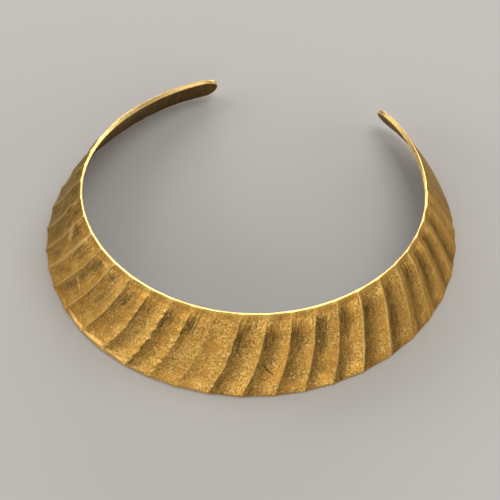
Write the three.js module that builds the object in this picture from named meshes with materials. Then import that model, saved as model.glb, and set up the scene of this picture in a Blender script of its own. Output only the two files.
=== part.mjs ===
// A fluted gold torc: one broad band that flares down and out from the neck like a collar,
// open at the back between two plain, rounded terminals, and lying on its lower rim.
// Millimetres, +Z up, front of the collar towards -Y, opening towards +Y.
// The origin is on the surface it lies on, under the middle of the object's box.
//
// A bearing is the angle round the neck, in degrees: 0 at the front, positive towards +X.

import * as THREE from 'three';
import { mergeVertices } from 'three/addons/utils/BufferGeometryUtils.js';

// Upper edge of the smooth inner face, where the band meets the neck
const neckRadius = 70;
const neckOval = 5.7;          // longer from front to back than from side to side
const neckEgg = 1.85;          // a little fuller at the shoulders than at the front
const neckSkew = 1.2;          // pulled slightly out of true, as worn

// Lower edge of the inner face, the rim that the torc lies on
const rimRadius = 78.65;
const rimForward = 6.4;        // the rim's circle sits in front of the neck's
const rimOval = 2.1;
const rimLean = 1.05;
const rimSkew = 0.5;
const rimTipFlare = 2;         // the terminals turn out a little more than the rest

// Height of the upper edge over the surface
const heightMean = 22;
const heightFront = 12;        // tall at the front, low at the terminals
const heightShoulder = 3.8;    // holds its height round to the shoulders
const heightPeak = 0.56;

// The metal
const ridgeThickness = 2.2;    // through a ridge between two flutes
const plainThickness = 1.9;    // through the plain terminals
const footWear = 0.3;          // worn off the inner corner where it touches the surface
const footWidth = 0.6;         // width of those worn flats

// Terminals
const leftTip = -156;
const rightTip = 151.5;
const tipRound = 5;            // degrees over which each end is rounded off
const tipPoint = 0.35;         // how far down the band's width the end reaches furthest
const tipBlunt = 0.09;         // share of the width left as the blunt end
const leftLift = 0.4;          // how far each terminal stands off the surface
const rightLift = 2.6;
const tipStart = 0.75;         // share of the way round to a tip where its rim starts to rise
const tipRaise = 0.4;          // share of that rise that the upper edge follows

// Flutes: shallow hollows side by side, with a sharp ridge between each two
const ridgeCount = 27;
const ridgeMiddle = -9.5;      // bearing of the middle ridge, at the upper edge
const ridgeStep = 7.02;        // average degrees from ridge to ridge
const ridgeSpread = 0.0042;    // the steps grow towards the ends
const driftAmount = 3.7;       // slow drift in the spacing, set out by eye
const driftRate = 0.153;
const driftStart = 1.28;
const wanderAmount = 0.46;     // and a small wander from ridge to ridge
const wanderRate = 1.19;
const wanderStart = 0.58;
const fluteDepth = 0.78;
const fluteDepthGain = 0.22;   // deeper towards +X
const fluteLip = 0.45;         // share of the depth that reaches the upper edge
const fluteLipWidth = 0.1;     // share of the band's width over which it grows to full depth
const rimScallop = 0.2;        // how far the rim is cut back between two ridges

// Slant of the ridges: how far each has turned, in degrees, when it reaches the rim
const sweepMean = -3;
const sweepFront = -5.3;
const sweepSide = 6.6;
const sweepBow = 0.8;          // each ridge also bows a little towards +X
const sweepFade = 25;          // degrees past the last ridge where the slant dies out

// Mesh
const fluteSteps = 6;          // stations across each flute
const plainSteps = 9;          // stations along each plain stretch
const tipSteps = 7;            // stations round each end
const outerRows = 8;           // rows down the fluted face
const innerRows = 4;           // rows up the smooth face

const { degToRad, smoothstep } = THREE.MathUtils;
const cosine = (degrees) => Math.cos(degToRad(degrees));
const sine = (degrees) => Math.sin(degToRad(degrees));
const middleRidge = (ridgeCount - 1) / 2;

function ridgeBearing(ridge) {
  const step = ridge - middleRidge;
  const drift = driftAmount * Math.sin(driftRate * step - driftStart);
  const wander = wanderAmount * Math.sin(wanderRate * step + wanderStart);
  return ridgeMiddle + ridgeStep * step + ridgeSpread * step ** 3 - drift - wander;
}

const firstRidge = ridgeBearing(0);
const lastRidge = ridgeBearing(ridgeCount - 1);

// How much of a terminal's rise is reached at a bearing, in millimetres, and as a share
function terminalRise(bearing) {
  const [tip, lift] = bearing < 0 ? [leftTip, leftLift] : [rightTip, rightLift];
  const share = smoothstep(bearing / tip, tipStart, 1);
  return { rise: lift * share, share };
}

function neckEdge(bearing) {
  const radius = neckRadius + neckOval * cosine(2 * bearing) - neckEgg * cosine(3 * bearing)
    + neckSkew * sine(2 * bearing);
  const height = heightMean + heightFront * cosine(bearing) - heightShoulder * cosine(2 * bearing)
    - heightPeak * cosine(3 * bearing) + tipRaise * terminalRise(bearing).rise;
  return new THREE.Vector2(radius, height);
}

function rimEdge(bearing) {
  const { rise, share } = terminalRise(bearing);
  const radius = rimRadius + rimForward * cosine(bearing) + rimOval * cosine(2 * bearing)
    - rimLean * sine(bearing) + rimSkew * sine(2 * bearing) + rimTipFlare * share;
  return new THREE.Vector2(radius, rise - footWear);
}

// How far a ridge line has turned at a share `down` of the band's width
function sweep(bearing, down) {
  const past = Math.max(firstRidge - bearing, bearing - lastRidge, 0);
  const turn = sweepMean + sweepFront * cosine(bearing) + sweepSide * sine(bearing);
  return (turn * down + sweepBow * Math.sin(Math.PI * down)) * (1 - smoothstep(past, 0, sweepFade));
}

// A station is one line down the band. `hollow` runs 0 on a ridge to 1 in the middle of a flute,
// `plain` 0 at the last ridge to 1 on the terminal, and `open` is the share of the width it keeps.
function stations() {
  const list = [];
  const add = (bearing, hollow, plain, open) => list.push({ bearing, hollow, plain, open });

  const leftShoulder = leftTip + tipRound;
  const rightShoulder = rightTip - tipRound;
  const lastTurn = Math.acos(tipBlunt);
  for (let step = tipSteps; step > 0; step -= 1) {
    const turn = (lastTurn * step) / tipSteps;
    add(leftShoulder - tipRound * Math.sin(turn), 0, 1, Math.cos(turn));
  }
  for (let step = 0; step < plainSteps; step += 1) {
    const share = step / plainSteps;
    add(THREE.MathUtils.lerp(leftShoulder, firstRidge, share), 0, 1 - smoothstep(share, 0.4, 1), 1);
  }
  for (let ridge = 0; ridge < ridgeCount - 1; ridge += 1) {
    for (let step = 0; step < fluteSteps; step += 1) {
      const share = step / fluteSteps;
      const bearing = THREE.MathUtils.lerp(ridgeBearing(ridge), ridgeBearing(ridge + 1), share);
      add(bearing, 4 * share * (1 - share), 0, 1);
    }
  }
  for (let step = 0; step < plainSteps; step += 1) {
    const share = step / plainSteps;
    add(THREE.MathUtils.lerp(lastRidge, rightShoulder, share), 0, smoothstep(share, 0, 0.3), 1);
  }
  for (let step = 0; step <= tipSteps; step += 1) {
    const turn = (lastTurn * step) / tipSteps;
    add(rightShoulder + tipRound * Math.sin(turn), 0, 1, Math.cos(turn));
  }
  return list;
}

// A point of the band: `down` 0 at the upper edge to 1 at the rim, `out` 0 on the inner face to
// 1 on the outer one
function bandPoint(station, down, out) {
  const bearing = station.bearing + sweep(station.bearing, down);
  const top = neckEdge(bearing);
  const foot = rimEdge(bearing);
  const width = top.distanceTo(foot);
  const slope = foot.clone().sub(top).divideScalar(width);

  const scallop = (rimScallop * station.hollow) / width;
  const kept = tipPoint + (down - tipPoint) * station.open;
  const along = width * kept * (1 - scallop);

  const lip = fluteLip + (1 - fluteLip) * smoothstep(down, 0, fluteLipWidth);
  const depth = (fluteDepth + fluteDepthGain * sine(bearing)) * station.hollow * lip;
  const metal = THREE.MathUtils.lerp(ridgeThickness, plainThickness, station.plain) - depth;

  const radius = top.x + slope.x * along - slope.y * metal * out;
  const height = top.y + slope.y * along + slope.x * metal * out;
  return new THREE.Vector3(radius * sine(bearing), -radius * cosine(bearing), Math.max(height, 0));
}

// The closed outline of one station: down the fluted face, across the rim, up the smooth face
function section(station) {
  const points = [];
  for (let row = 0; row <= outerRows; row += 1) points.push(bandPoint(station, row / outerRows, 1));
  points.push(bandPoint(station, 1, footWidth / ridgeThickness));
  for (let row = innerRows; row >= 0; row -= 1) points.push(bandPoint(station, row / innerRows, 0));
  return points;
}

function bandGeometry() {
  const sections = stations().map(section);
  const ring = sections[0].length;
  const positions = sections.flat().flatMap((point) => point.toArray());
  const faces = [];
  for (let line = 0; line < sections.length - 1; line += 1) {
    for (let corner = 0; corner < ring; corner += 1) {
      const here = line * ring + corner;
      const below = line * ring + ((corner + 1) % ring);
      faces.push(here, below, below + ring, here, below + ring, here + ring);
    }
  }
  const lastLine = (sections.length - 1) * ring;
  for (let corner = 1; corner < ring - 1; corner += 1) {
    faces.push(0, corner + 1, corner);
    faces.push(lastLine, lastLine + corner, lastLine + corner + 1);
  }
  const geometry = new THREE.BufferGeometry();
  geometry.setAttribute('position', new THREE.Float32BufferAttribute(positions, 3));
  geometry.setIndex(faces);
  const closed = mergeVertices(geometry);
  closed.computeBoundingBox();
  const middle = closed.boundingBox.getCenter(new THREE.Vector3());
  closed.translate(-middle.x, -middle.y, -closed.boundingBox.min.z);
  closed.computeVertexNormals();
  return closed;
}

const agedGold = new THREE.MeshStandardMaterial({ color: 0xb58b45, roughness: 0.42, metalness: 1 });

const band = new THREE.Mesh(bandGeometry(), agedGold);
band.name = 'torc_band';

const group = new THREE.Group();
group.add(band);

export default group;
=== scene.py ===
import math
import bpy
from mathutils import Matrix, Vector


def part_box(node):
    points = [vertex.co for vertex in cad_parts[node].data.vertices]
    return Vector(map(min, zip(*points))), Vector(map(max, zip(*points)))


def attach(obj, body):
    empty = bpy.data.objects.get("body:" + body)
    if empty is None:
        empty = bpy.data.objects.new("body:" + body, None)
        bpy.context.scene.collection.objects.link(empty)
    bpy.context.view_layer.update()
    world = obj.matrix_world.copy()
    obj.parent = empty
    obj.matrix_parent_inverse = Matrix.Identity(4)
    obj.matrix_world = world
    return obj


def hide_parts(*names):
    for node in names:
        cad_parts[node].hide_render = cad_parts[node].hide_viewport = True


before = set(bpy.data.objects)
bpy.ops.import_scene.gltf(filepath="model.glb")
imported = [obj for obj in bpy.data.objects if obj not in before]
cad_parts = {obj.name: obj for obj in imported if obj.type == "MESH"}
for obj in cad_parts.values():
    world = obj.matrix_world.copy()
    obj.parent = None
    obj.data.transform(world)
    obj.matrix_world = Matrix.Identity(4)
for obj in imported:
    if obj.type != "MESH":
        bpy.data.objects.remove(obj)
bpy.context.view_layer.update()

from types import SimpleNamespace

import bpy
import numpy as np
from mathutils import Vector, noise

bpy.ops.object.select_all(action="DESELECT")
print("frame loaded")

# The band. Millimetres and degrees; a bearing is the angle round the neck, 0 at the front,
# positive towards +X, and "down" runs 0 at the upper edge to 1 at the rim.
band = {
    "node": "torc_band",
    "neckRadius": 70, "neckOval": 5.7, "neckEgg": 1.85, "neckSkew": 1.2,
    "rimRadius": 78.65, "rimForward": 6.4, "rimOval": 2.1, "rimLean": 1.05, "rimSkew": 0.5,
    "rimTipFlare": 2,
    "heightMean": 22, "heightFront": 12, "heightShoulder": 3.8, "heightPeak": 0.56,
    "middleRadius": 76, "fluteRadii": (70, 84),                # half way down, and at the two edges
    "ridgeThickness": 2.2, "plainThickness": 1.9, "footWear": 0.3,
    "leftPlain": (0.4, 1), "rightPlain": (0, 0.3),             # where each plain stretch changes thickness
    "leftTip": -156, "rightTip": 151.5, "tipRound": 4.97, "tipPoint": 0.35,
    "leftLift": 0.4, "rightLift": 2.6, "tipStart": 0.75, "tipRaise": 0.4,
    "ridgeCount": 27, "ridgeMiddle": -9.5, "ridgeStep": 7.02, "ridgeSpread": 0.0042,
    "driftAmount": 3.7, "driftRate": 0.153, "driftStart": 1.28,
    "wanderAmount": 0.46, "wanderRate": 1.19, "wanderStart": 0.58,
    "fluteDepth": 0.78, "fluteDepthGain": 0.22, "fluteLip": 0.45, "fluteLipWidth": 0.1,
    "rimScallop": 0.2,
    "sweepMean": -3, "sweepFront": -5.3, "sweepSide": 6.6, "sweepBow": 0.8, "sweepFade": 25,

    # Worked by hand: what the plain sizes leave out. Pairs are limits, or a place and a spread.
    "leftSide": (8, 34),                                       # bearings over which the left's manner begins
    "rightEnd": (52, 72),                                      # and the right's
    "leftLean": 2.4, "leftLeanAt": (-44, 13), "leanTurn": 0.4,      # ridges that lean a little more
    "cornerRound": 0.22,                                       # wear of the square edges
    "ridgeWobble": 0.24, "slowShare": 1.3, "quickShare": 0.5,       # how far a ridge line strays
    "frontWobble": 0.3, "frontShare": 0.9,                     # and more at the front, where it is roughest
    "roughRidges": (12.5, 3), "ridgeLumps": 0.22, "lumpWidth": 0.9,
    "ribStep": 7.5, "ribDepth": 0.5, "ribStart": (0, 0.3), "ribFade": (1.2, 3),    # past the last ridge
    "crestRound": 0.16, "crestRoundRight": 0.5, "crestUneven": 0.5,
    "flatFlutes": 1.5,                                         # how much squarer the left flutes are
    "depthUneven": 0.16, "depthRipple": 0.1,
    "grooveDepth": 0.14, "grooveWidth": 0.36, "grooveOffset": 0.45,      # scribed line beside each ridge
    "grooveBreaks": (-0.3, 0.1), "grooveTop": (0.03, 0.08), "grooveFoot": (0.6, 0.9),
    "grooveSide": (5, 16), "grooveLeast": 0.6, "grooveRidges": (10.5, 2.2),
    "ledgeAt": (-22, 13), "ledgeHeight": 1.7, "ledgeSlope": 0.5, "ledgeUneven": 0.024, "ledgeFill": 0.85,
    "rimNick": 0.22, "nickShare": 0.3, "nickPower": 6,
    "footShallow": 0.55, "footStart": 0.82,                    # the flutes run out a little at the rim
    "thinned": [(0.95, -70, 34), (1.0, 76, 36), (0.4, 0, 45)],      # upper edge: amount, bearing, spread
    "thinnedWidth": 0.22,
    "relief": {"hammerMarks": (6.5, 0.12), "dimples": (1.7, 0.07)}, "reliefLevel": 0.8,     # size and depth

    # where tarnish and painted shade lie, where the metal is rubbed, and where highlights are painted on the
    # crests
    "shadeEnd": 0.72, "shadeEndUneven": 0.16, "shadeEndFront": (26, 20), "shadeFade": 0.66,
    "shadeMoved": 0.24, "shadeMovedAt": (44, 64), "shadeSoft": 0.05, "shadeSoftRight": 0.2,
    "shadeHeld": 0.95, "shadeUneven": 0.4, "shadeStart": 0.05, "shadeStartUneven": 0.07,
    "shadeStartSoft": (0.03, 0.16), "shadeFoot": 0.82, "shadeFootAt": (0.3, 0.85),
    "shadeRight": 0.4, "shadeRightAt": (35, 60), "shadeLeft": 0.7,
    "ribShade": 0.5, "ribShadeEnd": (0.35, 0.8),
    "paleFlutes": [(0.75, 14, 0.6, 0.02, 0.1), (0.35, 13, 0.6, 0.4, 0.6)],    # share, flute, spread, limits
    "patchTop": (0.07, 0.16), "patchFoot": (0.8, 0.97),
    "smoothSlope": (0.5, 0.7), "smoothTop": (0.02, 0.1), "smoothRight": 0.6,
    "crestStrong": 0.7, "crestStrongUneven": 0.6, "crestBrightest": 0.5,
    "brightRidge": (7, 0.6), "crestWidth": 0.28, "brightWidth": 0.7,
    "crestWidthRight": 0.16, "crestWideAt": (35, 55),
    # the crests at the right carry painted highlights
    "crestLeast": 0.25, "crestLeft": 1.5, "crestRight": 1.3, "crestRightAt": (30, 50),
    "crestFade": 0.35, "crestFadeAt": (66, 80),
    "dullLeft": ((46, 72), (112, 135)), "dullRight": ((94, 108), (125, 150)), "dullRightShare": 0.9,

    # uneven handwork, as noise: how fast it changes across and down, and where in the noise it starts
    "waves": {
        "straySlow": (7.31, 3.1, 2.5), "strayQuick": (5.17, 13, 8.5), "strayJagged": (9.13, 31, 9.5),
        "crestRound": (3.7, 9, 4.5), "depth": (4.3, 2.2, 11.5), "depthRipple": (2.9, 7, 14.5),
        "ledge": (0.6, 1, 17.5), "groove": (6.1, 5, 20.5), "lumps": (1.3, 0.9, 35.5),
        "rimNick": (0.45, 0, 29.5), "shadeEnd": (3.3, 3, 23.5), "shadeHeld": (5.9, 1.7, 26.5),
        "shadeStart": (1.1, 5.3, 38.5), "crestStrong": (2.3, 2.5, 32.5),
    },

    # mesh, and the map that the finish follows
    "outerRows": 66, "innerRows": 14, "cornerSteps": 3, "edgeSteps": 4,
    "fluteColumns": 24, "leftColumns": 56, "rightColumns": 76, "tipColumns": 14,
    "ridgeCrowding": 0.08, "mergeGap": 0.002, "smoothAngle": 62,
    "mapPerDegree": 1.4, "mapHeight": 80,
}


def smooth(value, low, high):
    share = np.clip((value - low) / (high - low), 0, 1)
    return share * share * (3 - 2 * share)


def blend(a, b, share):
    return a + (b - a) * share


def bump(value, centre, width):
    return np.exp(-((value - centre) / width) ** 2)


def cosine(degrees):
    return np.cos(np.radians(degrees))


def sine(degrees):
    return np.sin(np.radians(degrees))


def wave(name, across, down):
    # smooth noise from -1 to 1 at each pair of places
    acrossRate, downRate, start = band["waves"][name]
    places = np.broadcast_arrays(across * acrossRate, down * downRate)
    flat = [noise.noise(Vector((x, y, start))) for x, y in zip(places[0].flat, places[1].flat)]
    return np.array(flat).reshape(places[0].shape)


def ridgeBearing(ridge):
    step = ridge - (band["ridgeCount"] - 1) / 2
    drift = band["driftAmount"] * np.sin(band["driftRate"] * step - band["driftStart"])
    wander = band["wanderAmount"] * np.sin(band["wanderRate"] * step + band["wanderStart"])
    even = band["ridgeMiddle"] + band["ridgeStep"] * step + band["ridgeSpread"] * step ** 3
    return even - drift - wander


ridges = ridgeBearing(np.arange(band["ridgeCount"]))
firstRidge, lastRidge = ridges[0], ridges[-1]
print("ridges from bearing", round(firstRidge, 1), "to", round(lastRidge, 1))


def terminalRise(bearing):
    tip = np.where(bearing < 0, band["leftTip"], band["rightTip"])
    lift = np.where(bearing < 0, band["leftLift"], band["rightLift"])
    share = smooth(bearing / tip, band["tipStart"], 1)
    return lift * share, share


def neckEdge(bearing):
    radius = (band["neckRadius"] + band["neckOval"] * cosine(2 * bearing)
              - band["neckEgg"] * cosine(3 * bearing) + band["neckSkew"] * sine(2 * bearing))
    height = (band["heightMean"] + band["heightFront"] * cosine(bearing)
              - band["heightShoulder"] * cosine(2 * bearing) - band["heightPeak"] * cosine(3 * bearing)
              + band["tipRaise"] * terminalRise(bearing)[0])
    return radius, height


def rimEdge(bearing):
    rise, share = terminalRise(bearing)
    radius = (band["rimRadius"] + band["rimForward"] * cosine(bearing)
              + band["rimOval"] * cosine(2 * bearing) - band["rimLean"] * sine(bearing)
              + band["rimSkew"] * sine(2 * bearing) + band["rimTipFlare"] * share)
    return radius, rise - band["footWear"]


def sweep(bearing, down):
    past = np.maximum(np.maximum(firstRidge - bearing, bearing - lastRidge), 0)
    turn = band["sweepMean"] + band["sweepFront"] * cosine(bearing) + band["sweepSide"] * sine(bearing)
    lean = band["leftLean"] * bump(bearing, *band["leftLeanAt"]) * (band["leanTurn"] - down)
    fade = 1 - smooth(past, 0, band["sweepFade"])
    return (turn * down + band["sweepBow"] * np.sin(np.pi * down) + lean) * fade


def columns():
    # one entry for each line down the band: its bearing, its place among the flutes (ridge number and
    # share of the way to the next), how plain it is, and how far round an end it is in quarter turns
    lines = []
    leftShoulder = band["leftTip"] + band["tipRound"]
    rightShoulder = band["rightTip"] - band["tipRound"]
    for step in range(band["tipColumns"], 0, -1):
        quarter = step / band["tipColumns"]
        lines.append((leftShoulder - band["tipRound"] * math.sin(quarter * math.pi / 2), 0, 1, -quarter))
    for step in range(band["leftColumns"]):
        share = step / band["leftColumns"]
        lines.append((blend(leftShoulder, firstRidge, share), 0, 1 - smooth(share, *band["leftPlain"]), 0))
    for ridge in range(band["ridgeCount"] - 1):
        for step in range(band["fluteColumns"]):
            share = step / band["fluteColumns"]
            share -= band["ridgeCrowding"] * math.sin(2 * math.pi * share)
            lines.append((blend(ridges[ridge], ridges[ridge + 1], share), ridge + share, 0, 0))
    last = band["ridgeCount"] - 1
    for step in range(band["rightColumns"]):
        share = step / band["rightColumns"]
        lines.append((blend(lastRidge, rightShoulder, share), last, smooth(share, *band["rightPlain"]), 0))
    for step in range(band["tipColumns"] + 1):
        quarter = step / band["tipColumns"]
        lines.append((rightShoulder + band["tipRound"] * math.sin(quarter * math.pi / 2), last, 1, quarter))
    return [np.array(values, float)[:, None] for values in zip(*lines)]


def rows():
    # one closed trip round the section, from the upper edge down the fluted face, across the rim, up the
    # smooth face and over the top: how far down, which face (1 fluted, 0 smooth), how far in from the
    # outline and how far below the face
    corner = band["cornerRound"]
    angles = [math.pi / 2 * step / band["cornerSteps"] for step in range(1, band["cornerSteps"])]
    outer = [(step / band["outerRows"], 1, corner, 0) for step in range(band["outerRows"] + 1)]
    inner = [(step / band["innerRows"], 0, corner, 0) for step in range(band["innerRows"], -1, -1)]

    def turnOff(down, face):
        return [(down, face, corner * (1 - math.sin(a)), corner * (1 - math.cos(a))) for a in angles]

    def turnOn(down, face):
        return [(down, face, corner * (1 - math.cos(a)), corner * (1 - math.sin(a))) for a in angles]

    def across(down, start, end):
        return [(down, blend(start, end, step / band["edgeSteps"]), 0, corner)
                for step in range(band["edgeSteps"] + 1)]

    trip = outer + turnOff(1, 1) + across(1, 1, 0) + turnOn(1, 0)
    trip += inner + turnOff(0, 0) + across(0, 0, 1) + turnOn(0, 1) + outer[:1]
    return [np.array(values, float)[None, :] for values in zip(*trip)]


def strayMm(flute, down):
    # how far each ridge line strays sideways, blended across the flutes between
    ridge = np.arange(band["ridgeCount"])[:, None]
    slow = wave("straySlow", ridge, down)
    quick = wave("strayQuick", ridge, down)
    jagged = wave("strayJagged", ridge, down)
    front = band["frontWobble"] * bump(ridge, *band["roughRidges"])
    stray = band["ridgeWobble"] * (band["slowShare"] * slow + band["quickShare"] * quick)
    stray = stray + front * (band["frontShare"] * quick + band["frontShare"] * jagged)
    left = np.clip(np.floor(flute), 0, band["ridgeCount"] - 2).astype(int)[:, 0]
    share = (flute[:, 0] - left)[:, None]
    return blend(stray[left], stray[left + 1], share)


def makeSpots(bearing, flute, down, width):
    # every point's place in its flute, and which part of the torc it belongs to
    spot = SimpleNamespace(bearing=bearing, down=down, width=width)
    spot.left = np.clip(np.floor(flute), 0, band["ridgeCount"] - 2)      # the ridge to the left of it
    spot.share = np.clip(flute - spot.left, 0, 1)                        # share of the way to the next
    spot.nearest = flute.round()
    spot.inside = ((flute > 0) & (flute < band["ridgeCount"] - 1)).astype(float)
    spot.across = np.radians(band["ridgeStep"]) * blend(*band["fluteRadii"], down)      # the flute's width
    spot.fromRidge = np.minimum(spot.share, 1 - spot.share) * spot.across
    spot.leftSide = smooth(-bearing, *band["leftSide"])
    spot.rightEnd = smooth(bearing, *band["rightEnd"])
    # past the last ridge the flutes run out in a few faint ribs
    spot.past = (bearing - lastRidge) / band["ribStep"]
    spot.rib = ((0.5 - 0.5 * np.cos(2 * np.pi * spot.past)) * smooth(spot.past, *band["ribStart"])
                * (1 - smooth(spot.past, *band["ribFade"])))
    return spot


def bowlShare(spot):
    # the section of a flute: 0 on its ridges to 1 where it is deepest
    crest = blend(band["crestRound"], band["crestRoundRight"], spot.rightEnd)
    crest = crest * (1 + band["crestUneven"] * wave("crestRound", spot.nearest, spot.down))
    rounded = np.sqrt(spot.fromRidge ** 2 + crest ** 2) - crest
    side = np.clip(1 - 2 * rounded / spot.across, 0, 1)
    return 1 - side ** (2 + band["flatFlutes"] * spot.leftSide)


def ledgeShare(spot):
    # at the lower left the flutes stop short of the rim
    line = spot.down + band["ledgeUneven"] * wave("ledge", spot.bearing, spot.down)
    low = 1 - band["ledgeHeight"] / spot.width
    high = 1 - (band["ledgeHeight"] - band["ledgeSlope"]) / spot.width
    return bump(spot.bearing, *band["ledgeAt"]) * smooth(line, low, high)


def grooveShare(spot, ledge):
    # the scribed lines, broken here and there
    scribed = (smooth(wave("groove", spot.left, spot.down), *band["grooveBreaks"])
               * smooth(spot.down, *band["grooveTop"]) * (1 - smooth(spot.down, *band["grooveFoot"])))
    most = band["grooveLeast"] + (1 - band["grooveLeast"]) * bump(spot.left, *band["grooveRidges"])
    scribed = scribed * smooth(-spot.bearing, *band["grooveSide"]) * most
    line = bump(spot.share * spot.across, band["grooveOffset"], band["grooveWidth"])
    return line * scribed * spot.inside * (1 - ledge)


def faceDepth(spot, bowl, ledge, groove):
    # how far the worked face lies below its plain surface
    evenness = (1 + band["depthUneven"] * wave("depth", spot.left, spot.down)
                + band["depthRipple"] * wave("depthRipple", spot.left, spot.down))
    lip = band["fluteLip"] + (1 - band["fluteLip"]) * smooth(spot.down, 0, band["fluteLipWidth"])
    amount = (band["fluteDepth"] + band["fluteDepthGain"] * sine(spot.bearing)) * evenness * lip
    foot = 1 - band["footShallow"] * smooth(spot.down, band["footStart"], 1) * (1 - spot.leftSide)
    depth = amount * foot * bowl * spot.inside * (1 - band["ledgeFill"] * ledge)

    thinned = sum(amount * bump(spot.bearing, at, spread) for amount, at, spread in band["thinned"])
    depth = depth + thinned * (1 - smooth(spot.down, 0, band["thinnedWidth"]))
    depth = depth + band["ribDepth"] * spot.rib * lip
    depth = depth + band["grooveDepth"] * groove
    rough = (bump(spot.nearest, *band["roughRidges"])
             * np.exp(-(spot.fromRidge / band["lumpWidth"]) ** 2) * spot.inside)
    return depth + band["ridgeLumps"] * rough * wave("lumps", spot.bearing, spot.down * spot.width)


def shadeMask(spot):
    # painted shade and tarnish: just past each ridge the hollow holds its tarnish, and the slope there,
    # turned away from the light, is darkened as painted shade; the far slope is left clean
    uneven = band["shadeEndUneven"]
    end = (band["shadeEnd"] + uneven * wave("shadeEnd", spot.left, spot.down)
           + uneven * bump(spot.bearing, *band["shadeEndFront"]))
    right = smooth(spot.bearing, *band["shadeMovedAt"])
    moved = spot.share - band["shadeMoved"] * right           # further from the ridge at the right
    shade = (smooth(moved, 0, band["shadeSoft"] + band["shadeSoftRight"] * right)
             * (1 - smooth(moved, end - band["shadeFade"], end)))

    held = band["shadeHeld"] + band["shadeUneven"] * wave("shadeHeld", spot.left, spot.down)
    start = (band["shadeStart"]
             + band["shadeStartUneven"] * wave("shadeStart", spot.share * spot.across, spot.left))
    before, after = band["shadeStartSoft"]
    fall = (blend(1, band["shadeFoot"], smooth(spot.down, *band["shadeFootAt"]))
            * smooth(spot.down, start - before, start + after))
    paler = 1
    for share, flute, spread, low, high in band["paleFlutes"]:
        paler = paler - share * bump(spot.left, flute, spread) * smooth(spot.down, low, high)
    # the painted shade is made darker towards the right
    stronger = 1 + band["shadeRight"] * smooth(spot.bearing, *band["shadeRightAt"])
    shade = np.clip(shade * held * fall * paler * stronger, 0, 1) * spot.inside
    shade = shade + band["ribShade"] * spot.rib * (1 - smooth(spot.past % 1, *band["ribShadeEnd"]))
    return shade * (1 - band["shadeLeft"] * spot.leftSide)


def patchMask(spot, bowl):
    # the deepest part of the left flutes, where tarnish lies in patches
    patch = bowl ** 2 * smooth(spot.down, *band["patchTop"]) * (1 - smooth(spot.down, *band["patchFoot"]))
    return patch * spot.inside * spot.leftSide


def smoothMask(spot):
    # where the skin of the metal is smooth: elsewhere it is sandy
    left = spot.leftSide * smooth(spot.share, *band["smoothSlope"])
    top = (1 - smooth(spot.down, *band["smoothTop"])) * (1 - spot.leftSide)
    return np.maximum(left + top, band["smoothRight"] * spot.rightEnd)


def crestMask(spot):
    # ridges painted bright, one of them wider than the rest: rubbed wear on the crests, and painted
    # highlights along the crests at the right
    bright = bump(spot.nearest, *band["brightRidge"])
    strong = (band["crestStrong"] + band["crestStrongUneven"] * wave("crestStrong", spot.nearest, spot.down)
              + band["crestBrightest"] * bright)
    wide = (blend(band["crestWidth"], band["brightWidth"], bright)
            + band["crestWidthRight"] * smooth(spot.bearing, *band["crestWideAt"]))
    crest = np.exp(-(spot.fromRidge / wide) ** 2) * spot.inside * strong
    # on the left the crests are rubbed bright; at the right the brightening is painted highlight
    rubbed = np.maximum(band["crestLeft"] * spot.leftSide,
                        band["crestRight"] * smooth(spot.bearing, *band["crestRightAt"]))
    crest = crest * blend(band["crestLeast"], 1, rubbed)
    return np.clip(crest * (1 - band["crestFade"] * smooth(-spot.bearing, *band["crestFadeAt"])), 0, 1)


def dullMask(bearing):
    # the two ends of the band, where tarnish lies all over
    (leftStart, leftEnd), (rightStart, rightEnd) = band["dullLeft"], band["dullRight"]
    left = smooth(-bearing, *leftStart) * (1 - smooth(-bearing, *leftEnd))
    right = band["dullRightShare"] * smooth(bearing, *rightStart) * (1 - smooth(bearing, *rightEnd))
    return left + right


def bandForm():
    bearing, flute, plain, turn = columns()
    down, face, inset, sink = rows()
    quarter = np.abs(turn) * np.pi / 2
    openShare = np.cos(quarter)                               # the width that is left towards each tip
    mmPerDegree = np.radians(1) * band["middleRadius"]

    at = bearing + sweep(bearing, down) + strayMm(flute, down) / mmPerDegree * (1 - plain)
    at = at - np.sign(turn) * inset * np.sin(quarter) / mmPerDegree
    topRadius, topHeight = neckEdge(at)
    footRadius, footHeight = rimEdge(at)
    width = np.hypot(footRadius - topRadius, footHeight - topHeight)
    outward = (footRadius - topRadius) / width
    downward = (footHeight - topHeight) / width

    everywhere = np.zeros(width.shape)
    spot = makeSpots(bearing + everywhere, flute + everywhere, down, width)
    bowl, ledge = bowlShare(spot), ledgeShare(spot)
    groove = grooveShare(spot, ledge)
    depth = faceDepth(spot, bowl, ledge, groove)

    hollow = np.clip(4 * (flute % 1) * (1 - flute % 1), 0, 1)
    nick = (band["rimNick"] * np.clip(wave("rimNick", bearing, bearing) + band["nickShare"], 0, 1)
            * down ** band["nickPower"])
    scallop = (band["rimScallop"] * hollow + nick) / width * openShare
    kept = band["tipPoint"] + (down - band["tipPoint"]) * openShare
    along = width * kept * (1 - scallop) + inset * (1 - 2 * down) * openShare

    metal = blend(band["ridgeThickness"], band["plainThickness"], plain) - depth * openShare
    through = sink + (metal - 2 * sink) * face
    radius = topRadius + outward * along - downward * through
    height = np.maximum(topHeight + downward * along + outward * through, 0)
    place = np.stack([radius * sine(at), -radius * cosine(at), height], -1) / 1000

    outer = (face == 1) & (sink == 0)
    masks = {
        "shade": shadeMask(spot) * outer, "patch": patchMask(spot, bowl) * outer,
        "crest": crestMask(spot) * (face > 0.5), "groove": groove * outer, "ledge": ledge * outer,
        "smoothPart": smoothMask(spot) * outer, "edge": (sink > 0) + everywhere,
        "inner": (face == 0) + everywhere, "down": down + everywhere,
        "dull": dullMask(bearing) + everywhere,
    }
    mapU = (bearing + everywhere) / 360 + 0.5
    mapV = np.where(face == 0, 0.5, 0) + along / band["mapHeight"]      # the inner face has its own half
    return place, masks, np.stack([mapU, mapV], -1)


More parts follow.
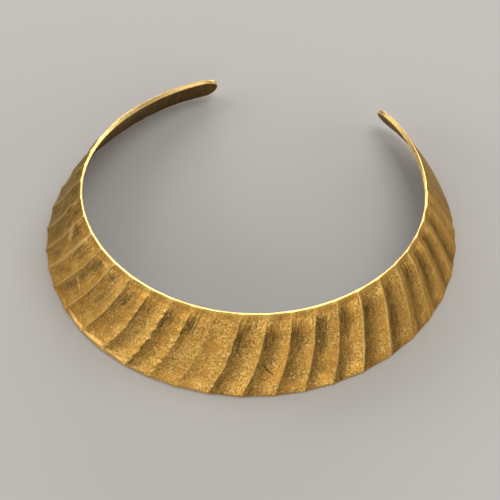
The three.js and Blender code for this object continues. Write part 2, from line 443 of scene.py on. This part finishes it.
def makeBand():
    place, masks, flow = bandForm()
    lines, ring = place.shape[:2]
    bpy.ops.mesh.primitive_grid_add(x_subdivisions=lines - 1, y_subdivisions=ring - 1, size=2)
    piece = bpy.context.object
    piece.name = piece.data.name = "torcBand"
    mesh = piece.data

    # the flat sheet is rolled round the section and along the band
    sheet = np.empty(len(mesh.vertices) * 3)
    mesh.vertices.foreach_get("co", sheet)
    sheet = sheet.reshape(-1, 3)
    line = np.rint((sheet[:, 0] + 1) / 2 * (lines - 1)).astype(int)
    row = np.rint((sheet[:, 1] + 1) / 2 * (ring - 1)).astype(int)
    mesh.vertices.foreach_set("co", place[line, row].ravel())
    for name, values in masks.items():
        painted = mesh.attributes.new(name, "FLOAT", "POINT")
        painted.data.foreach_set("value", values[line, row].astype(np.float32))
    corner = np.empty(len(mesh.loops), int)
    mesh.loops.foreach_get("vertex_index", corner)
    flowMap = mesh.uv_layers[0]
    flowMap.name = "flow"
    flowMap.uv.foreach_set("vector", flow[line[corner], row[corner]].astype(np.float32).ravel())
    mesh.update()

    # the sheet's edges are joined, and the ends closed
    gap = band["mergeGap"] / 1000
    bpy.ops.object.mode_set(mode="EDIT")
    bpy.ops.mesh.select_all(action="SELECT")
    bpy.ops.mesh.remove_doubles(threshold=gap)
    bpy.ops.mesh.dissolve_degenerate(threshold=gap)
    bpy.ops.mesh.select_all(action="SELECT")
    bpy.ops.mesh.normals_make_consistent(inside=False)
    bpy.ops.object.mode_set(mode="OBJECT")

    for name, (size, depth) in band["relief"].items():
        texture = bpy.data.textures.new(name, "CLOUDS")
        texture.noise_scale = size / 1000
        texture.noise_depth = 1
        uneven = piece.modifiers.new(name, "DISPLACE")
        uneven.texture = texture
        uneven.texture_coords = "LOCAL"
        uneven.mid_level = band["reliefLevel"]
        uneven.strength = depth / 1000
        bpy.ops.object.modifier_apply(modifier=name)

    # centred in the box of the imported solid, and lying on the surface
    low, high = (np.array(side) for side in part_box(band["node"]))
    form = np.empty(len(mesh.vertices) * 3)
    mesh.vertices.foreach_get("co", form)
    form = form.reshape(-1, 3)
    middle = (form.min(0) + form.max(0)) / 2
    form[:, :2] += ((low + high) / 2 - middle)[:2]
    form = np.clip(form, low, high)
    mesh.vertices.foreach_set("co", form.ravel())
    mesh.update()
    bpy.ops.object.shade_smooth_by_angle(angle=math.radians(band["smoothAngle"]))
    print("band shaped:", len(mesh.vertices), "points,", len(mesh.polygons), "faces")
    return piece


class Socket:
    # wraps an output of a node, so that shader maths reads as plain expressions
    def __init__(self, tree, output=None):
        self.tree, self.output = tree, output

    def node(self, kind, settings, sockets, output=0):
        made = self.tree.nodes.new(kind)
        for name, value in settings.items():
            setattr(made, name, value)
        for name, value in sockets.items():
            if isinstance(value, Socket):
                self.tree.links.new(value.output, made.inputs[name])
            else:
                made.inputs[name].default_value = value
        return Socket(self.tree, made.outputs[output] if made.outputs else None)

    def math(self, operation, first, second):
        return self.node("ShaderNodeMath", {"operation": operation}, {0: first, 1: second})

    def __add__(self, other):
        return self.math("ADD", self, other)

    def __radd__(self, other):
        return self.math("ADD", other, self)

    def __sub__(self, other):
        return self.math("SUBTRACT", self, other)

    def __rsub__(self, other):
        return self.math("SUBTRACT", other, self)

    def __mul__(self, other):
        return self.math("MULTIPLY", self, other)

    def __rmul__(self, other):
        return self.math("MULTIPLY", other, self)

    def between(self, low, high):
        # 0 below low, 1 above high, smooth between
        return self.node("ShaderNodeMapRange", {"interpolation_type": "SMOOTHSTEP"},
                         {"Value": self, "From Min": low, "From Max": high})

    def clamped(self):
        return self.node("ShaderNodeClamp", {}, {"Value": self})


# The finish. Sizes in millimetres; colours are linear.
gold = {
    "slot": "aged_gold",
    "warm": (0.62, 0.32, 0.058, 1), "pale": (0.78, 0.465, 0.11, 1), "reddish": (0.60, 0.29, 0.07, 1),
    # the dark brown serves for tarnish and for painted shade; the bright gold serves for rubbed wear and for
    # painted highlights
    "rubbed": (0.93, 0.65, 0.25, 1), "tarnish": (0.10, 0.054, 0.012, 1),
    # the near-black colour of the inner face is painted shade
    "greyTarnish": (0.14, 0.088, 0.03, 1), "innerPaintedShade": (0.045, 0.025, 0.008, 1),
    "dirt": (0.05, 0.03, 0.01, 1), "speck": (0.98, 0.80, 0.42, 1), "grazing": (1, 0.88, 0.62, 1),
    # clouds of noise: size, detail, roughness
    "clouds": {
        "mottle": (5, 3, 0.5), "blotch": (2.2, 4, 0.6), "speckle": (0.75, 2, 0.6), "grain": (0.4, 2, 0.6),
        "redPlaces": (3.1, 2, 0.5), "speckPlaces": (3.3, 2, 0.5),
    },
    # drawn out down the band: width, length, detail, roughness
    "streakFine": (0.34, 7, 2, 0.6), "streakCoarse": (0.85, 7, 2, 0.6), "worn": (5.5, 13, 4, 0.62),
    "fineShare": 0.6, "pitSize": 1.2, "speckSpacing": 1.9, "speckBend": 0.9, "speckBendScale": 1.6,
    "upperPart": (0.1, 0.55), "streakLimits": (0.46, 0.62), "patchLimits": (0.42, 0.62),
    # how much of each colour there is: where in its noise it starts and ends, and its strength
    "reddishPlaces": (0.5, 0.75, 0.2), "darkBlotches": (0.4, 0.75, 0.14), "darkSpeckles": (0.4, 0.8, 0.5),
    "darkStreaks": 0.3, "lightSpeckles": (0.24, 0.5, 0.5), "darkPits": (0.1, 0.34, 0.1),
    "pitPlaces": (0.45, 0.6, 1), "darkGrain": (0.4, 0.75, 0.24), "lightGrain": (0.3, 0.5, 0.2),
    "innerMottle": (0.35, 0.6, 0.14), "innerSpeckle": (0.35, 0.65, 0.12), "innerLeast": 0.72,
    "dullStreaks": (0.44, 0.6, 0.35), "dullGaps": (0.32, 0.45, 0.5), "dullLeast": 0.25,
    "speckSize": (0.04, 0.3, 0.7), "speckShare": (0.5, 0.66, 1),
    "tarnishAndShadeShare": 0.93, "dirtShare": 0.95, "scratchShare": 0.7,
    # start and end of each mark as bearing and millimetres down the band, and its width
    "scratches": [((16.5, 20.0), (18.4, 23.1), 0.2), ((17.6, 22.2), (19.5, 24.1), 0.17)],
    "rubs": [((-57.6, 7.8), (-54.4, 13.0), 1.3), ((-40.2, 18.8), (-39.8, 19.2), 0.6),
             ((-38.4, 19.9), (-38.0, 20.3), 0.5)],
    "roughness": 0.40, "tarnishAndShadeRoughness": 0.16, "rubbedRoughness": -0.12, "innerRoughness": 0.08,
    "speckleRoughness": 0.16, "mottleRoughness": 0.1,
    "tarnishAndShadeMetal": 0.1, "dirtMetal": 0.5, "innerMetal": 0.25,      # how much less metallic
    "grainHeight": 0.05, "pitHeight": 0.09, "pitEdge": (0.0, 0.35), "streakHeight": 0.04,
    "speckleHeight": 0.05, "scratchDepth": 0.2, "grooveDepth": 0.05, "rubDepth": 0.12,
    "bumpStrength": 0.9,
}


def scaled(vector, factors):
    return vector.node("ShaderNodeVectorMath", {"operation": "MULTIPLY"}, {0: vector, 1: factors})


def clouds(vector, size, detail, roughness):
    return vector.node("ShaderNodeTexNoise", {}, {
        "Vector": vector, "Scale": 1 / size, "Detail": detail, "Roughness": roughness}, "Fac")


def drawnOut(flow, width, length, detail, roughness):
    return clouds(scaled(flow, (1 / width, 1 / length, 1)), 1, detail, roughness)


def cells(vector, size):
    return vector.node("ShaderNodeTexVoronoi", {}, {"Vector": vector, "Scale": 1 / size}, "Distance")


def mix(share, first, second):
    return share.node("ShaderNodeMix", {"data_type": "RGBA"}, {0: share, 6: first, 7: second}, 2)


def layer(name, source):
    # how much of a colour lies where its noise is high
    low, high, strength = gold[name]
    return source.between(low, high) * strength


def gaps(name, source):
    # and where its noise is low
    low, high, strength = gold[name]
    return (1 - source.between(low, high)) * strength


def marks(flow, lines, soft):
    # straight marks with round ends; soft runs 0 for a sharp edge to 1 for a faint one
    found = None
    for (startBearing, startDown), (endBearing, endDown), width in lines:
        begin = Vector(((startBearing + 180) * band["mapPerDegree"], startDown, 0))
        reach = Vector(((endBearing + 180) * band["mapPerDegree"], endDown, 0)) - begin
        away = flow.node("ShaderNodeVectorMath", {"operation": "SUBTRACT"}, {0: flow, 1: begin})
        length = flow.node("ShaderNodeVectorMath", {"operation": "DOT_PRODUCT"}, {0: away, 1: reach}, "Value")
        share = (length * (1 / reach.length_squared)).clamped()
        nearest = flow.node("ShaderNodeVectorMath", {"operation": "SCALE"}, {0: reach, "Scale": share})
        gap = flow.node("ShaderNodeVectorMath", {"operation": "DISTANCE"}, {0: away, 1: nearest}, "Value")
        line = 1 - gap.between(width * 0.5 * (1 - soft), width * (1.3 + soft * 0.5))
        found = line if found is None else found + line
    return found


def goldFields(make):
    # what the finish is painted from: masks that the mesh carries, noise, and what they make together
    field = SimpleNamespace()
    for name in ("shade", "patch", "crest", "groove", "edge", "inner", "down", "ledge", "smoothPart", "dull"):
        setattr(field, name, make.node("ShaderNodeAttribute", {"attribute_name": name}, {}, "Fac"))
    place = scaled(make.node("ShaderNodeTexCoord", {}, {}, "Object"), (1000, 1000, 1000))    # in millimetres
    for name, (size, detail, roughness) in gold["clouds"].items():
        setattr(field, name, clouds(place, size, detail, roughness))
    bandMap = make.node("ShaderNodeUVMap", {"uv_map": "flow"}, {})
    flow = scaled(bandMap, (360 * band["mapPerDegree"], band["mapHeight"], 0))      # in millimetres
    field.streaks = (drawnOut(flow, *gold["streakFine"]) * gold["fineShare"]
                     + drawnOut(flow, *gold["streakCoarse"]) * (1 - gold["fineShare"]))
    field.worn = drawnOut(flow, *gold["worn"])
    field.pits = cells(place, gold["pitSize"])
    bend = make.node("ShaderNodeTexNoise", {}, {
        "Vector": place, "Scale": gold["speckBendScale"], "Detail": 1.0}, "Color")
    bent = make.node("ShaderNodeVectorMath", {"operation": "ADD"},
                     {0: place, 1: scaled(bend, (gold["speckBend"],) * 3)})
    field.specks = cells(bent, gold["speckSpacing"])

    field.outer = (1 - field.inner) * (1 - field.edge)
    upper = 1 - field.down.between(*gold["upperPart"])
    field.streakMask = field.streaks.between(*gold["streakLimits"]) * (0.3 + 0.7 * upper) * field.outer
    field.scratched = (marks(flow, gold["scratches"], 0) * field.outer).clamped()
    field.rub = (marks(flow, gold["rubs"], 1) * field.outer).clamped()

    # painted shade and tarnish: painted shade past each ridge, on the slope turned away from the light, and
    # tarnish there and in patches, broken up by blotches, streaks and grain
    broken = (0.5 + 0.5 * field.blotch + 0.5 * (field.speckle - 0.5) + 0.5 * (field.mottle - 0.5)
              + 0.7 * (field.streaks - 0.45))
    patches = (field.worn + (field.speckle - 0.5) * 0.12).between(*gold["patchLimits"])
    lying = field.shade * broken * 1.02 + field.patch * patches * 0.66
    field.tarnished = (lying + field.streakMask * (field.shade + field.patch) * 0.7).clamped()
    field.dirt = (field.groove * (0.4 + field.speckle)).clamped()
    # crests painted bright, partly rubbed wear and partly painted highlight; the ledge and the edges rubbed
    field.rubbed = (field.crest * (0.35 + 0.9 * field.blotch) * 0.8 + field.ledge * 0.35
                    + field.edge * (0.6 + field.speckle * 0.5)).clamped()
    return field


def goldColour(field):
    outer, speckle, streaks = field.outer, field.speckle, field.streaks
    colour = mix(field.mottle.between(0.3, 0.7), gold["warm"], gold["pale"])
    colour = mix(layer("reddishPlaces", field.redPlaces), colour, gold["reddish"])

    # sandy all over, and least where the skin is smooth
    sandy = outer * (0.55 + 0.9 * (1 - field.smoothPart) * field.mottle.between(0.3, 0.6))
    uneven = (layer("darkBlotches", field.blotch) + layer("darkSpeckles", speckle)
              + field.streakMask * gold["darkStreaks"])
    colour = mix(uneven * sandy, colour, gold["tarnish"])
    colour = mix(gaps("lightSpeckles", speckle) * sandy, colour, gold["rubbed"])

    # the painted shade and the tarnish laid over the colour
    tarnish = mix(field.patch, gold["tarnish"], gold["greyTarnish"])
    colour = mix(field.tarnished * gold["tarnishAndShadeShare"], colour, tarnish)
    colour = mix(field.dirt * gold["dirtShare"], colour, gold["dirt"])
    # the inner face painted nearly black as painted shade, broken up by mottle and speckle
    innerShare = gold["innerLeast"] + layer("innerMottle", field.mottle) + layer("innerSpeckle", speckle)
    colour = mix(field.inner * innerShare, colour, gold["innerPaintedShade"])

    colour = mix(gaps("darkPits", field.pits) * layer("pitPlaces", speckle) * outer, colour, gold["dirt"])
    colour = mix(layer("darkGrain", field.grain) * outer, colour, gold["tarnish"])
    colour = mix(gaps("lightGrain", field.grain) * outer, colour, gold["rubbed"])
    dull = field.dull * outer
    overlaid = gold["dullLeast"] + field.blotch * 0.4 + layer("dullStreaks", streaks)
    colour = mix(dull * overlaid, colour, gold["tarnish"])
    colour = mix(dull * gaps("dullGaps", streaks), colour, gold["rubbed"])

    # the crests' rubbed wear and painted highlights
    colour = mix(field.rubbed, colour, gold["rubbed"])
    bright = gaps("speckSize", field.specks) * layer("speckShare", field.speckPlaces) * outer
    colour = mix(bright, colour, gold["speck"])
    colour = mix(field.scratched * gold["scratchShare"], colour, gold["dirt"])
    return mix(field.rub * (0.1 + field.blotch * 0.8), colour, gold["rubbed"])


def goldFinish():
    material = bpy.data.materials.new("agedGoldWorked")
    material.use_nodes = True
    tree = material.node_tree
    tree.nodes.clear()
    make = Socket(tree)
    field = goldFields(make)

    rough = (gold["roughness"] + field.tarnished * gold["tarnishAndShadeRoughness"]
             + field.rubbed * gold["rubbedRoughness"] + (field.speckle - 0.5) * gold["speckleRoughness"]
             + (field.mottle - 0.5) * gold["mottleRoughness"] + field.inner * gold["innerRoughness"])
    metallic = (1 - field.tarnished * gold["tarnishAndShadeMetal"] - field.dirt * gold["dirtMetal"]
                - field.inner * gold["innerMetal"])
    raised = (field.pits.between(*gold["pitEdge"]) * gold["pitHeight"]
              + field.streaks * gold["streakHeight"]) * field.outer
    height = (field.grain * gold["grainHeight"] + raised + field.speckle * gold["speckleHeight"]
              - field.scratched * gold["scratchDepth"] - field.groove * gold["grooveDepth"]
              - field.rub * gold["rubDepth"])
    normal = make.node("ShaderNodeBump", {}, {
        "Height": height, "Distance": 0.001, "Strength": gold["bumpStrength"]})
    surface = make.node("ShaderNodeBsdfPrincipled", {}, {
        "Base Color": goldColour(field), "Roughness": rough.clamped(), "Metallic": metallic.clamped(),
        "Normal": normal, "Specular Tint": gold["grazing"]})
    make.node("ShaderNodeOutputMaterial", {}, {"Surface": surface})
    return material


torc = makeBand()
torc.data.materials.clear()
torc.data.materials.append(goldFinish())
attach(torc, "root")
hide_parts(band["node"])
print("band finished")

# The studio. Metres and watts; azimuth 0 is straight in front, positive towards +X.
studio = {
    "floorSize": 6, "floorColour": (0.66, 0.65, 0.63, 1), "floorRoughness": 0.9, "floorShine": 0.1,
    "worldColour": (0.42, 0.42, 0.43, 1), "worldStrength": 0.5,
    "target": (0.00068, -0.00294, -0.00093), "cameraAzimuth": 12.04, "cameraElevation": 45.24,
    "cameraDistance": 1.2, "lens": 225.6, "sensor": 36, "nearest": 0.05, "farthest": 20,
    # name: azimuth, elevation, distance, width, height, power, colour
    "lights": {
        "keyLeft": (-72, 16, 1.0, 1.0, 0.5, 3.4, (1, 0.96, 0.90)),
        "keyFront": (-2, 17, 1.0, 1.05, 0.5, 2.8, (1, 0.96, 0.90)),
        "keyRight": (52, 12, 1.0, 0.45, 0.4, 1.8, (1, 0.96, 0.90)),
        "backRim": (182, 13, 1.1, 1.0, 0.35, 6.0, (1, 0.97, 0.92)),
        "backLeft": (-117, 37, 1.2, 0.6, 0.6, 1.8, (1, 0.97, 0.92)),
        "overhead": (120, 66, 1.2, 1.0, 0.8, 4.2, (1, 0.98, 0.95)),
        "rightFill": (100, 14, 1.1, 0.5, 0.4, 1.6, (1, 0.97, 0.92)),
    },
}


def around(azimuth, elevation, distance):
    azimuth, elevation = math.radians(azimuth), math.radians(elevation)
    return Vector((math.sin(azimuth) * math.cos(elevation), -math.cos(azimuth) * math.cos(elevation),
                   math.sin(elevation))) * distance


def makeStudio():
    bpy.ops.mesh.primitive_plane_add(size=studio["floorSize"])
    floor = bpy.context.object
    floor.name = "studioFloor"
    paper = bpy.data.materials.new("palePaper")
    paper.use_nodes = True
    shader = paper.node_tree.nodes["Principled BSDF"]
    shader.inputs["Base Color"].default_value = studio["floorColour"]
    shader.inputs["Roughness"].default_value = studio["floorRoughness"]
    shader.inputs["Specular IOR Level"].default_value = studio["floorShine"]
    floor.data.materials.append(paper)

    world = bpy.data.worlds.new("studioWorld")
    world.use_nodes = True
    backdrop = world.node_tree.nodes["Background"]
    backdrop.inputs["Color"].default_value = studio["worldColour"]
    backdrop.inputs["Strength"].default_value = studio["worldStrength"]
    bpy.context.scene.world = world

    target = Vector(studio["target"])
    for name, (azimuth, elevation, distance, width, height, power, colour) in studio["lights"].items():
        at = around(azimuth, elevation, distance)
        bpy.ops.object.light_add(type="AREA", location=target + at)
        lamp = bpy.context.object
        lamp.name = lamp.data.name = name
        lamp.rotation_euler = at.to_track_quat("Z", "Y").to_euler()
        lamp.data.shape = "RECTANGLE"
        lamp.data.size, lamp.data.size_y = width, height
        lamp.data.energy, lamp.data.color = power, colour
        lamp.visible_camera = False

    back = around(studio["cameraAzimuth"], studio["cameraElevation"], studio["cameraDistance"])
    bpy.ops.object.camera_add(location=target + back)
    camera = bpy.context.object
    tilt = math.radians(90 - studio["cameraElevation"])
    camera.rotation_euler = (tilt, 0, math.radians(studio["cameraAzimuth"]))
    camera.data.lens = studio["lens"]
    camera.data.sensor_width = studio["sensor"]
    camera.data.clip_start, camera.data.clip_end = studio["nearest"], studio["farthest"]
    bpy.context.scene.camera = camera
    bpy.context.scene.view_settings.view_transform = "Standard"
    print("studio ready")


makeStudio()
